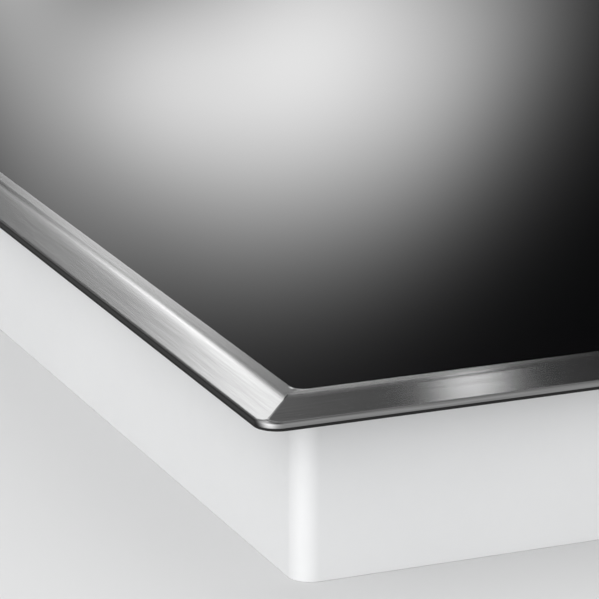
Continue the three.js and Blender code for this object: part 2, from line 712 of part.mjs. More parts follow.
// An open-backed box whose collar comes through the housing's rear wall and carries the cover.
function terminalBox() {
  const wall = 2;
  const rim = 3.7;
  const clearance = 3 * GAP;
  const boxY = [186, HOUSING_HALF_DEPTH - SHEET - 2 * GAP];
  const collarX = [TERMINAL_OPENING.x[0] + clearance, TERMINAL_OPENING.x[1] - clearance];
  const boxX = [collarX[0], GROMMET_AT.x + 16];
  const boxZ = [TERMINAL_OPENING.z[0] + clearance, TERMINAL_OPENING.z[1] - clearance];
  const mouthY = [COLLAR_Y - 1, HOUSING_HALF_DEPTH + 1];
  const insideZ = [boxZ[0] + wall - clearance, boxZ[1] - wall + clearance];
  const body = block(boxX, boxY, boxZ);
  const collar = block(collarX, [COLLAR_Y, HOUSING_HALF_DEPTH], boxZ);
  const cavity = block([boxX[0] + wall, boxX[1] - wall], [boxY[0] + wall, COLLAR_Y], insideZ);
  const coverMouth = block([collarX[0] + rim, collarX[1] - rim], mouthY, insideZ);
  const grommetMouth = block([collarX[1] + 1, boxX[1] - wall], mouthY, insideZ);
  const hingeX = [collarX[0] + 1.3, collarX[1] - 1.3];
  const hingeHoles = barAlongX(PINTLE_RADIUS + 3 * GAP, hingeX, COVER_AXIS.y, COVER_AXIS.z);
  const wireHoleRadius = 4.5;
  const wireHole = disc(wireHoleRadius, [-boxY[0] - wall - 2, 2 - boxY[0]], [0, 0], 20);
  const wireExit = wireHole.rotateX(Math.PI / 2).translate(WIRE_EXIT.x, 0, WIRE_EXIT.z);
  return cut([body, collar], [cavity, coverMouth, grommetMouth, hingeHoles, wireExit]);
}

function terminalCover() {
  const [x0, x1] = TERMINAL_OPENING.x;
  const sideInset = 4.4;
  const panelY = [238.6, 240.6];
  const panelZ = [4.6, 33.4];
  const panel = block([x0 + sideInset, x1 - sideInset], panelY, panelZ);
  const pintles = barAlongX(PINTLE_RADIUS, [x0 + 2, x1 - 2], COVER_AXIS.y, COVER_AXIS.z, 12);
  const middle = (x0 + x1) / 2;
  const latchHalfWidth = 6;
  const latchY = [236.4, panelY[0] + GAP];
  const latchZ = [30.4, 32];
  const latch = block([middle - latchHalfWidth, middle + latchHalfWidth], latchY, latchZ);
  return joined([panel, pintles, latch]);
}

function terminalBlock() {
  const poles = 6;
  const pitch = 11;
  const startX = TERMINAL_OPENING.x[0] + 20;
  const bodyY = [197, 215];
  const bodyZ = [4.2, 22];
  const body = block([startX, startX + poles * pitch], bodyY, bodyZ);
  const mouthHalfWidth = 3.5;
  const mouthY = [206, bodyY[1] + 1];
  const mouthZ = [7, 14];
  const screwWell = { radius: 3, y: 210, z: [16, bodyZ[1] + 1] };
  const recesses = [];
  for (let pole = 0; pole < poles; pole += 1) {
    const x = startX + (pole + 0.5) * pitch;
    recesses.push(block([x - mouthHalfWidth, x + mouthHalfWidth], mouthY, mouthZ));
    recesses.push(disc(screwWell.radius, screwWell.z, [x, screwWell.y], 12));
  }
  return cut([body], recesses);
}

// A rubber bush whose groove grips the edge of the inlet hole.
function cableGrommet() {
  const outerFace = HOUSING_HALF_DEPTH;
  const innerFace = HOUSING_HALF_DEPTH - SHEET;
  const boreRadius = 6;
  const flangeRadius = 12;
  const flangeReach = 1.6;
  const outline = [
    [boreRadius, innerFace - flangeReach],
    [flangeRadius - 1, innerFace - flangeReach],
    [flangeRadius, innerFace - GAP],
    [GROMMET_NECK_RADIUS, innerFace - GAP],
    [GROMMET_NECK_RADIUS, outerFace + GAP],
    [flangeRadius, outerFace + GAP],
    [flangeRadius - 1, outerFace + flangeReach],
    [boreRadius, outerFace + flangeReach],
  ];
  const geometry = turned(outline, [0, 0], 24);
  return geometry.rotateX(-Math.PI / 2).translate(GROMMET_AT.x, 0, GROMMET_AT.z);
}

function addMainsConnection() {
  place('terminal_box', terminalBox(), blackPlastic);
  place('terminal_cover', terminalCover(), blackPlastic);
  place('terminal_block', terminalBlock(), whitePlastic);
  place('cable_grommet', cableGrommet(), blackRubber);
}

// ---------------------------------------------------------------- internal wiring

function addWiring() {
  const endZ = PART_ON_BOARD_Z + 2.4;
  const thick = 2;
  const thin = 1.5;
  place('mains_lead', tubeAlong([
    [6, 193.5, 18], [0, 193, 24], [WIRE_EXIT.x, 190, WIRE_EXIT.z], [WIRE_EXIT.x, 184, WIRE_EXIT.z],
    [-12, 178, 24], [-26, 170, 17], [-34, 166, endZ],
  ], thick, 18), wireSleeve);
  place('power_lead_left', tubeAlong([
    [-100, 124, endZ], [-100, 119, 17], [-100, 111, 19], [-100, 103, 17], [-100, 97, endZ],
  ], thick, 12), wireSleeve);
  place('power_lead_right', tubeAlong([
    [-34, 124, endZ], [-20, 119, 17], [8, 111, 19], [36, 103, 17], [50, 96, endZ],
  ], thick, 14), wireSleeve);
  place('control_cable', tubeAlong([
    [-60, -195, 42.4], [-60, -187, 42.8], [-60, -182.2, 39.5], [-60, -181.8, 28], [-60, -162, 16],
    [-60, -110, 13], [-60, -70, 13.5], [-60, -52, endZ],
  ], thin, 26), wireSleeve);
}

addTop();
addCarrierFrame();
addHousing();
addClamps();
addCoils();
addCoilPlates();
addBlowers();
addPowerModules();
addFilter();
addControls();
addMainsConnection();
addWiring();

export default cooktop;
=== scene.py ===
import json
import math
import random

import bmesh
import bpy
from mathutils import Matrix, Vector

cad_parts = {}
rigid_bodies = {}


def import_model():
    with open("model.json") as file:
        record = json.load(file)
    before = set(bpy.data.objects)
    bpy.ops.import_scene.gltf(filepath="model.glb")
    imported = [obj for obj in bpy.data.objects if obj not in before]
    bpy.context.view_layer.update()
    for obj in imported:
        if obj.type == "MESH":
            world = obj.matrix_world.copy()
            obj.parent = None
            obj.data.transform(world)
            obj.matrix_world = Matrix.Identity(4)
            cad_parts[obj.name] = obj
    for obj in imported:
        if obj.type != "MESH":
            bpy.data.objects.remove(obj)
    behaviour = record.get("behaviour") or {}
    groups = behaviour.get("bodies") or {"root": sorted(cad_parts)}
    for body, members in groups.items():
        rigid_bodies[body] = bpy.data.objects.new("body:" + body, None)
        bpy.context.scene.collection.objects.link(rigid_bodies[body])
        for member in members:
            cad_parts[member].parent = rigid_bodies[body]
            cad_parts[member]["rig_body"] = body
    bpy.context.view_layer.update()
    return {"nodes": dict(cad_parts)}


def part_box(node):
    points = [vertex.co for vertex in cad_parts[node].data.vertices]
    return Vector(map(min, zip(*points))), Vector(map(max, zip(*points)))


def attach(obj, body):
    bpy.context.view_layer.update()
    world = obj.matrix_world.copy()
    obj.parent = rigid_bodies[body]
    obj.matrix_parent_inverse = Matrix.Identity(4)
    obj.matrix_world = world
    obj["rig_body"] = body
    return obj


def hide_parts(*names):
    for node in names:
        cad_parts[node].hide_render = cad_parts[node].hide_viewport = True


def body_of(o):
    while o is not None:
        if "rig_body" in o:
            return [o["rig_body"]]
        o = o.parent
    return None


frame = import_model()

# The looks of a built-in induction cooktop. Everything is in metres in the CAD frame: +Z up and the
# front at -Y. Names of places, such as front_left, are as seen by the cook.

NODES = frame["nodes"]
MM = 0.001

CORNERS = ("front_left", "front_right", "rear_left", "rear_right")
SIDES = ("left", "right")


# ---------------------------------------------------------------- shader nodes

class Nodes:
    """Adds nodes to one tree. A socket is fed with a value or with another node's output."""

    def __init__(self, tree):
        self.tree = tree

    def feed(self, socket, value):
        if isinstance(value, bpy.types.NodeSocket):
            self.tree.links.new(value, socket)
        else:
            socket.default_value = value

    def add(self, kind, inputs=None, **settings):
        node = self.tree.nodes.new("ShaderNode" + kind)
        for name, value in settings.items():
            setattr(node, name, value)
        for name, value in (inputs or {}).items():
            self.feed(node.inputs[name], value)
        return node

    def math(self, operation, *values):
        node = self.add("Math", operation=operation)
        for index, value in enumerate(values):
            self.feed(node.inputs[index], value)
        return node.outputs[0]

    def coordinates(self, scale=(1, 1, 1), turn=(0, 0, 0), source="Object"):
        vector = self.add("TexCoord").outputs[source]
        inputs = {"Vector": vector, "Scale": scale, "Rotation": turn}
        return self.add("Mapping", inputs).outputs["Vector"]

    def noise(self, vector, scale=1.0, detail=3.0, roughness=0.5, distortion=0.0):
        inputs = {
            "Vector": vector,
            "Scale": scale,
            "Detail": detail,
            "Roughness": roughness,
            "Distortion": distortion,
        }
        return self.add("TexNoise", inputs).outputs[0]

    def cells(self, vector, scale=1.0, output="Distance"):
        inputs = {"Vector": vector, "Scale": scale}
        return self.add("TexVoronoi", inputs).outputs[output]

    def remap(self, value, low, high, start=0.0, end=1.0):
        """Stretches the part of value from start to end over low to high, and clamps the rest."""
        inputs = {
            "Value": value,
            "From Min": start,
            "From Max": end,
            "To Min": low,
            "To Max": high,
        }
        return self.add("MapRange", inputs).outputs["Result"]

    def colours(self, factor, first, second):
        node = self.add("Mix", data_type="RGBA")
        self.feed(node.inputs[0], factor)
        self.feed(node.inputs[6], first)
        self.feed(node.inputs[7], second)
        return node.outputs[2]

    def bump(self, height, distance, strength=1.0):
        inputs = {"Height": height, "Distance": distance, "Strength": strength}
        return self.add("Bump", inputs).outputs["Normal"]

    def edge(self):
        """1 on the rounded edges of a refined piece, 0 elsewhere: the mask for the painted edge
        highlights.
        """
        return self.add("Attribute", attribute_name="edge").outputs["Fac"]


def grey(value, tint=0.0):
    """A grey that leans to blue where tint is above 0, and to yellow where it is below 0."""
    return (value * (1 - tint), value, value * (1 + tint), 1)


def material(name, finish):
    """finish takes the node helper and returns what each socket of the shader is fed with."""
    made = bpy.data.materials.new(name)
    made.use_nodes = True
    nodes = Nodes(made.node_tree)
    shader = made.node_tree.nodes["Principled BSDF"]
    for socket, value in finish(nodes).items():
        nodes.feed(shader.inputs[socket], value)
    return made


# ---------------------------------------------------------------- materials

def brushed_steel(nodes):
    """Lines run along V of the UV map, which is in metres; highlights spread across them, along U."""
    # how fine each noise is: cells per metre across and along the brushing
    line_grain = (2300, 36, 1)
    band_grain = (500, 12, 1)
    cloud_grain = (60, 22, 1)
    lines = nodes.noise(nodes.coordinates(line_grain, source="UV"), detail=4, roughness=0.65)
    bands = nodes.noise(nodes.coordinates(band_grain, source="UV"), detail=3)
    cloud = nodes.noise(nodes.coordinates(cloud_grain, source="UV"), detail=2)
    tone = nodes.math("ADD", nodes.math("MULTIPLY", lines, 0.85), nodes.math("MULTIPLY", bands, 0.15))
    spread_tone = nodes.remap(tone, 0, 1, 0.36, 0.64)
    rough = nodes.math("ADD", nodes.remap(lines, -0.005, 0.005), nodes.remap(cloud, 0.149, 0.155))
    return {
        "Base Color": nodes.colours(spread_tone, grey(0.385), grey(0.475, 0.004)),
        "Metallic": 1.0,
        "Roughness": rough,
        "Anisotropic": 0.99,
        "Tangent": nodes.add("Tangent", direction_type="UV_MAP").outputs[0],
        "Normal": nodes.bump(lines, 0.004 * MM, 0.2),
    }


def black_glass(nodes):
    haze = nodes.noise(nodes.coordinates(), scale=14, detail=5, roughness=0.6)
    return {
        "Base Color": nodes.colours(haze, (0.0007, 0.0008, 0.0011, 1), (0.0012, 0.0013, 0.0017, 1)),
        "Roughness": nodes.remap(haze, 0.02, 0.04, 0.3, 0.7),
        "IOR": 1.5,
        "Normal": nodes.bump(nodes.noise(nodes.coordinates(), scale=30, detail=1), 0.01 * MM, 0.1),
    }


def galvanised_steel(nodes):
    """Skin-passed sheet: no spangle, only a fine matt mottle. Its rounded edges carry a painted
    highlight.
    """
    place = nodes.coordinates()
    mottle = nodes.noise(place, scale=420, detail=4, roughness=0.6)
    stain = nodes.noise(place, scale=7, detail=5, roughness=0.6)
    base = nodes.colours(nodes.remap(stain, 0, 1, 0.3, 0.7), grey(0.80, 0.006), grey(0.86, 0.004))
    return {
        # painted highlight: the rounded edges are painted a paler grey
        "Base Color": nodes.colours(nodes.math("MULTIPLY", nodes.edge(), 0.4), base, grey(0.94)),
        "Metallic": 0.12,
        "Roughness": nodes.remap(mottle, 0.46, 0.62, 0.3, 0.7),
        "Normal": nodes.bump(mottle, 0.01 * MM, 0.25),
    }


def zinc_plated(nodes):
    place = nodes.coordinates()
    film = nodes.noise(place, scale=70, detail=3, distortion=0.6)
    rub = nodes.noise(nodes.coordinates((900, 900, 4000)), detail=3)
    base = nodes.colours(film, (0.60, 0.60, 0.56, 1), (0.62, 0.64, 0.68, 1))
    return {
        # painted highlight: the rounded edges are painted a paler grey
        "Base Color": nodes.colours(nodes.math("MULTIPLY", nodes.edge(), 0.6), base, grey(0.8)),
        "Metallic": 1.0,
        "Roughness": nodes.remap(rub, 0.22, 0.42, 0.3, 0.7),
        "Normal": nodes.bump(rub, 0.01 * MM, 0.3),
    }


def aluminium(nodes):
    rolled = nodes.noise(nodes.coordinates((2500, 60, 2500)), detail=4, roughness=0.6)
    cloud = nodes.noise(nodes.coordinates(), scale=18, detail=4)
    base = nodes.colours(cloud, grey(0.66, 0.01), grey(0.78, 0.012))
    return {
        # painted highlight: the rounded edges are painted a paler grey
        "Base Color": nodes.colours(nodes.math("MULTIPLY", nodes.edge(), 0.6), base, grey(0.88)),
        "Metallic": 1.0,
        "Roughness": nodes.remap(rolled, 0.3, 0.5, 0.3, 0.7),
        "Normal": nodes.bump(rolled, 0.01 * MM, 0.4),
    }


def seal_rubber(nodes):
    grain = nodes.noise(nodes.coordinates(), scale=1500, detail=4, roughness=0.7)
    return {
        "Base Color": nodes.colours(grain, grey(0.006), grey(0.02)),
        "Roughness": nodes.remap(grain, 0.72, 0.92, 0.3, 0.7),
        "Normal": nodes.bump(grain, 0.03 * MM, 0.5),
    }


def silicone(nodes):
    skin = nodes.noise(nodes.coordinates(), scale=160, detail=3)
    return {
        "Base Color": nodes.colours(skin, grey(0.07), grey(0.11)),
        "Roughness": nodes.remap(skin, 0.45, 0.65, 0.3, 0.7),
        "Normal": nodes.bump(skin, 0.15 * MM, 0.4),
    }


def moulded(dark, pale, low, high):
    """A plastic with the fine spark-eroded grain of its mould. Its rounded edges carry a painted
    highlight that makes them paler.
    """
    def finish(nodes):
        place = nodes.coordinates()
        grain = nodes.cells(place, scale=2200)
        flow = nodes.noise(place, scale=35, detail=4, roughness=0.6)
        base = nodes.colours(flow, dark, pale)
        # painted highlight on the rounded edges: a paler copy of the plastic's colour
        painted_edge_highlight = tuple(min(1.0, 1.5 * level + 0.02) for level in pale[:3]) + (1,)
        return {
            "Base Color": nodes.colours(nodes.math("MULTIPLY", nodes.edge(), 0.4), base, painted_edge_highlight),
            "Roughness": nodes.remap(nodes.math("ADD", grain, flow), low, high, 0.5, 1.3),
            "Normal": nodes.bump(grain, 0.02 * MM, 0.5),
        }
    return finish


def copper_litz(nodes):
    """Enamelled strands that are twisted round the bundle; U runs round it and V along it, in metres."""
    strands = nodes.add(
        "TexWave",
        {
            "Vector": nodes.coordinates((1, 260, 1), turn=(0, 0, 0.6), source="UV"),
            "Scale": 4.0,
            "Distortion": 0.4,
            "Detail": 1.0,
        },
    ).outputs["Fac"]
    tint = nodes.noise(nodes.coordinates(), scale=240, detail=3)
    base = nodes.colours(tint, (0.36, 0.12, 0.045, 1), (0.62, 0.25, 0.10, 1))
    return {
        "Base Color": nodes.colours(strands, (0.16, 0.05, 0.02, 1), base),
        "Metallic": 0.75,
        "Roughness": nodes.remap(strands, 0.5, 0.3),
        "Normal": nodes.bump(strands, 0.12 * MM, 0.8),
    }


def mica(nodes):
    flakes = nodes.cells(nodes.coordinates((1, 1, 6)), scale=300, output="Color")
    level = nodes.add("SeparateXYZ", {"Vector": flakes}).outputs["X"]
    cloud = nodes.noise(nodes.coordinates(), scale=40, detail=5)
    mixed = nodes.math("ADD", nodes.math("MULTIPLY", level, 0.5), nodes.math("MULTIPLY", cloud, 0.5))
    return {
        "Base Color": nodes.colours(mixed, (0.42, 0.36, 0.24, 1), (0.72, 0.66, 0.50, 1)),
        "Roughness": nodes.remap(level, 0.35, 0.65),
        "Normal": nodes.bump(level, 0.03 * MM, 0.5),
    }


def circuit_board(nodes):
    """Green solder mask, a shade lighter over copper tracks, with tinned pads."""
    place = nodes.coordinates()
    track_inputs = {
        "Vector": nodes.coordinates(turn=(0, 0, math.pi / 4)),
        "Scale": 90.0,
        "Mortar Size": 0.16,
        "Mortar Smooth": 0.1,
    }
    tracks = nodes.add("TexBrick", track_inputs, offset=0.37, squash=0.6, squash_frequency=3)
    pads = nodes.math("LESS_THAN", nodes.cells(place, scale=170), 0.16)
    weave = nodes.noise(nodes.coordinates((1600, 1600, 1600)), detail=2)
    mask = nodes.colours(tracks.outputs["Fac"], (0.012, 0.085, 0.030, 1), (0.022, 0.15, 0.055, 1))
    return {
        "Base Color": nodes.colours(pads, mask, (0.55, 0.55, 0.52, 1)),
        "Metallic": pads,
        "Roughness": nodes.remap(weave, 0.26, 0.42),
        "Normal": nodes.bump(tracks.outputs["Fac"], 0.05 * MM, 0.6),
    }


def ferrite(nodes):
    grain = nodes.noise(nodes.coordinates(), scale=1300, detail=5, roughness=0.7)
    return {
        "Base Color": nodes.colours(grain, grey(0.02, 0.02), grey(0.055, 0.02)),
        "Roughness": nodes.remap(grain, 0.4, 0.7, 0.3, 0.7),
        "Normal": nodes.bump(grain, 0.05 * MM, 0.5),
    }


def wire_sleeve(nodes):
    """Glass-fibre sleeving: a fine braid over a dark lead."""
    braid = nodes.add(
        "TexChecker",
        {"Vector": nodes.coordinates(turn=(0.5, 0.6, 0.78)), "Scale": 1400.0},
    ).outputs["Fac"]
    dirt = nodes.noise(nodes.coordinates(), scale=120, detail=3)
    base = nodes.colours(dirt, grey(0.028, 0.03), grey(0.05, 0.03))
    return {
        "Base Color": nodes.colours(nodes.math("MULTIPLY", braid, 0.35), base, grey(0.09)),
        "Roughness": nodes.remap(dirt, 0.5, 0.75, 0.3, 0.7),
        "Normal": nodes.bump(braid, 0.05 * MM, 0.4),
    }


def control_print(nodes):
    """Ceramic ink fired into the glass."""
    grain = nodes.noise(nodes.coordinates(), scale=3000, detail=2)
    return {
        "Base Color": nodes.colours(grain, grey(0.42), grey(0.55)),
        "Roughness": nodes.remap(grain, 0.35, 0.5),
    }


MATERIALS = {
    "brushed_steel": material("brushed_steel", brushed_steel),
    "black_glass": material("black_glass", black_glass),
    "galvanised_steel": material("galvanised_steel", galvanised_steel),
    "zinc_plated": material("zinc_plated", zinc_plated),
    "aluminium": material("aluminium", aluminium),
    "seal_rubber": material("seal_rubber", seal_rubber),
    "silicone": material("silicone", silicone),
    "black_plastic": material("black_plastic", moulded(grey(0.010), grey(0.018), 0.42, 0.6)),
    "white_plastic": material("white_plastic", moulded(grey(0.62), grey(0.70), 0.35, 0.5)),
    "film_capacitor": material(
        "film_capacitor",
        moulded((0.16, 0.012, 0.010, 1), (0.22, 0.018, 0.014, 1), 0.28, 0.42),
    ),
    "copper_litz": material("copper_litz", copper_litz),
    "mica": material("mica", mica),
    "circuit_board": material("circuit_board", circuit_board),
    "ferrite": material("ferrite", ferrite),
    "wire_sleeve": material("wire_sleeve", wire_sleeve),
}
PRINT = material("control_print", control_print)

# Which finish each CAD node has; a node's name starts with one of these words
FINISHES = {
    "glass_ceramic_top": "black_glass",
    "trim_frame": "brushed_steel",
    "frame_bond": "silicone",
    "worktop_seal": "seal_rubber",
    "glass_carrier_frame": "galvanised_steel",
    "carrier_bond": "silicone",
    "bottom_housing": "galvanised_steel",
    "base_insulation": "black_plastic",
    "clamp": "zinc_plated",
    "coil_carrier": "black_plastic",
    "coil_winding": "copper_litz",
    "mica_disc": "mica",
    "temperature_sensor": "white_plastic",
    "coil_plate": "aluminium",
    "fan_housing": "black_plastic",
    "fan_impeller": "black_plastic",
    "fan_motor": "zinc_plated",
    "power_board": "circuit_board",
    "heat_sink": "aluminium",
    "dc_link_capacitor": "film_capacitor",
    "filter_board": "circuit_board",
    "filter_choke": "ferrite",
    "filter_capacitor": "film_capacitor",
    "control_board_holder": "black_plastic",
    "control_board": "circuit_board",
    "display_module": "white_plastic",
    "terminal_box": "black_plastic",
    "terminal_cover": "black_plastic",
    "terminal_block": "white_plastic",
    "cable_grommet": "seal_rubber",
    "mains_lead": "wire_sleeve",
    "power_lead": "wire_sleeve",
    "control_cable": "wire_sleeve",
}


def entry_for(node, table):
    """The table's entry for the longest word that the node's name starts with, or None."""
    fitting = [start for start in table if node.startswith(start)]
    if not fitting:
        return None
    return table[max(fitting, key=len)]


def dress_cad_nodes():
    for node, piece in NODES.items():
        made = MATERIALS[entry_for(node, FINISHES)]
        for slot in piece.material_slots:
            slot.material = made


# ---------------------------------------------------------------- mesh helpers

# vertices closer than this are one vertex
SAME_PLACE = 0.002 * MM


def add_piece(name, mesh, slot, body="hob", replaces=(), made=None, smooth=True):
    """Puts a finished mesh in the scene as a piece that rides on a body. Its material is the slot's,
    or the one that made gives."""
    piece = bpy.data.objects.new(name, mesh)
    bpy.context.scene.collection.objects.link(piece)
    mesh.materials.clear()
    mesh.materials.append(made or MATERIALS[slot])
    for face in mesh.polygons:
        face.use_smooth = smooth
    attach(piece, body)
    if replaces:
        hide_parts(*replaces)
    return piece


def weigh_normals(piece):
    modifier = piece.modifiers.new("normals", "WEIGHTED_NORMAL")
    modifier.mode = "FACE_AREA"
    modifier.weight = 100
    modifier.keep_sharp = True


def mesh_from(name, build):
    """Runs build on an empty bmesh and returns what it made as a mesh."""
    bm = bmesh.new()
    build(bm)
    mesh = bpy.data.meshes.new(name)
    bm.to_mesh(mesh)
    bm.free()
    return mesh


def refine(node, width):
    """Replaces the CAD solid with one whose sharp edges are all rounded to the given width."""
    flat = math.radians(0.5)
    sharp_angle = math.radians(32)

    def build(bm):
        bm.from_mesh(NODES[node].data)
        layer = bm.faces.layers.float.new("edge")
        bmesh.ops.remove_doubles(bm, verts=bm.verts, dist=SAME_PLACE)
        bmesh.ops.dissolve_limit(bm, angle_limit=flat, verts=bm.verts, edges=bm.edges)
        joined_edges = [edge for edge in bm.edges if len(edge.link_faces) == 2]
        sharp = [edge for edge in joined_edges if edge.calc_face_angle() > sharp_angle]
        rounded = bmesh.ops.bevel(
            bm,
            geom=sharp,
            offset=width,
            offset_type="OFFSET",
            segments=2,
            profile=0.5,
            affect="EDGES",
            clamp_overlap=True,
        )
        # the rounded faces are marked for the painted edge highlight
        for face in rounded["faces"]:
            face[layer] = 1.0

    mesh = mesh_from(node + "_finished", build)
    body = body_of(NODES[node])[0]
    finish = entry_for(node, FINISHES)
    weigh_normals(add_piece(node + "_finished", mesh, finish, body, replaces=[node]))


def turned(bm, profile, centre, axis, count, flats=0):
    """A solid of revolution. The profile holds (distance along the axis, radius), from base to top.
    Its last rings, as many as flats says, are hexagons, as in a hexagon socket."""
    sixth = math.pi / 3
    turn = Vector((0, 0, 1)).rotation_difference(Vector(axis)).to_matrix()
    rings = []
    for index, (height, radius) in enumerate(profile):
        ring = []
        hexagonal = index >= len(profile) - flats
        for step in range(count):
            angle = 2 * math.pi * step / count
            reach = radius
            if hexagonal:
                reach = radius / math.cos(angle % sixth - sixth / 2)
            point = Vector((reach * math.cos(angle), reach * math.sin(angle), height))
            ring.append(bm.verts.new(Vector(centre) + turn @ point))
        rings.append(ring)
    for lower, upper in zip(rings, rings[1:]):
        for step in range(count):
            following = (step + 1) % count
            bm.faces.new((lower[step], lower[following], upper[following], upper[step]))
    bm.faces.new(list(reversed(rings[0])))
    bm.faces.new(rings[-1])


def tube(bm, points, radius, sides, closed=False):
    """A round tube through the points, with U round it and V along it, in metres. A closed one is a
    ring, and an open one has flat ends."""
    layer = bm.loops.layers.uv.verify()
    count = len(points)
    rings = []
    reach = [0.0]
    side_way = None
    for index, point in enumerate(points):
        before = points[index - 1] if closed or index > 0 else point
        after = points[(index + 1) % count] if closed or index < count - 1 else point
        way = (after - before).normalized()
        if side_way is None:
            side_way = way.orthogonal().normalized()
        side_way = (side_way - way * side_way.dot(way)).normalized()
        up = way.cross(side_way)
        ring = []
        for side in range(sides):
            angle = 2 * math.pi * side / sides
            offset = side_way * math.cos(angle) + up * math.sin(angle)
            ring.append(bm.verts.new(point + offset * radius))
        rings.append(ring)
        reach.append(reach[-1] + (points[(index + 1) % count] - point).length)
    pairs = count if closed else count - 1
    girth = 2 * math.pi * radius / sides
    for index in range(pairs):
        first = rings[index]
        second = rings[(index + 1) % count]
        for side in range(sides):
            following = (side + 1) % sides
            face = bm.faces.new((first[side], first[following], second[following], second[side]))
            around = (side, side + 1, side + 1, side)
            along = (index, index, index + 1, index + 1)
            for loop, turn, step in zip(face.loops, around, along):
                loop[layer].uv = (turn * girth, reach[step])
    if not closed:
        bm.faces.new(list(reversed(rings[0])))
        bm.faces.new(rings[-1])


def block(bm, low, high, width=0.0):
    """A box with its edges rounded to the given width."""
    made = bmesh.ops.create_cube(bm, size=1.0)["verts"]
    size = Vector(high) - Vector(low)
    middle = (Vector(high) + Vector(low)) / 2
    for vertex in made:
        vertex.co = middle + Vector(a * b for a, b in zip(vertex.co, size))
    if width:
        edges = list({edge for vertex in made for edge in vertex.link_edges})
        bmesh.ops.bevel(bm, geom=edges, offset=width, segments=2, profile=0.5, affect="EDGES")


def screw_head(bm, base, axis, radius, height):
    """A pan head with a hexagon socket; it stands on base and points along axis."""
    socket = radius * 0.5
    profile = (
        (0.0, radius),
        (height * 0.45, radius),
        (height * 0.8, radius * 0.9),
        (height, radius * 0.68),
        (height, socket * 1.08),
        (height * 0.97, socket),
        (height * 0.45, socket),
    )
    turned(bm, profile, base, axis, 36, flats=3)


def rounded_outline(half_x, half_y, radius, steps):
    """Points of a rounded rectangle, anticlockwise from the +X side, with steps + 1 per corner."""
    points = []
    for quarter, (sign_x, sign_y) in enumerate(((1, 1), (-1, 1), (-1, -1), (1, -1))):
        centre_x = sign_x * (half_x - radius)
        centre_y = sign_y * (half_y - radius)
        for step in range(steps + 1):
            angle = (quarter + step / steps) * math.pi / 2
            x = centre_x + radius * math.cos(angle)
            y = centre_y + radius * math.sin(angle)
            points.append((x, y))
    return points


def along_side(side, point):
    """How far along its side of the frame a point is: 0 is the +X side, then +Y, -X and -Y."""
    return (point.y, -point.x, -point.y, point.x)[side]


def frame_ring(bm, half_x, half_y, profile, steps):
    """A closed ring round a rectangle. The profile holds (inset, height, corner radius), in a loop.

    UV: U is the distance round the profile and V the distance along the side, in metres. The sides
    meet on the corners' diagonals, so that lines along V are mitred there."""
    rings = []
    for inset, height, radius in profile:
        outline = rounded_outline(half_x - inset, half_y - inset, radius, steps)
        rings.append([bm.verts.new((x, y, height)) for x, y in outline])
    across = [0.0]
    for (inset, height, _), (next_inset, next_height, _) in zip(profile, profile[1:] + profile[:1]):
        across.append(across[-1] + math.hypot(next_inset - inset, next_height - height))
    layer = bm.loops.layers.uv.new("brushing")
    count = len(rings[0])
    per_corner = steps + 1
    for index in range(len(rings)):
        outer = rings[index]
        inner = rings[(index + 1) % len(rings)]
        for start in range(count):
            end = (start + 1) % count
            corner, step = divmod(start, per_corner)
            side = corner if step < steps // 2 else (corner + 1) % 4
            corners = (outer[start], outer[end], inner[end], inner[start])
            face = bm.faces.new(corners)
            for loop, distance in zip(face.loops, (0, 0, 1, 1)):
                loop[layer].uv = (across[index + distance], along_side(side, loop.vert.co))


# ---------------------------------------------------------------- trim frame

def arc(centre, radius, start, end, count):
    """Points (inset, height) on an arc; an angle of 0 points to the inside, 90 degrees up."""
    points = []
    for step in range(count + 1):
        angle = math.radians(start + (end - start) * step / count)
        points.append((centre[0] + radius * math.cos(angle), centre[1] + radius * math.sin(angle)))
    return points


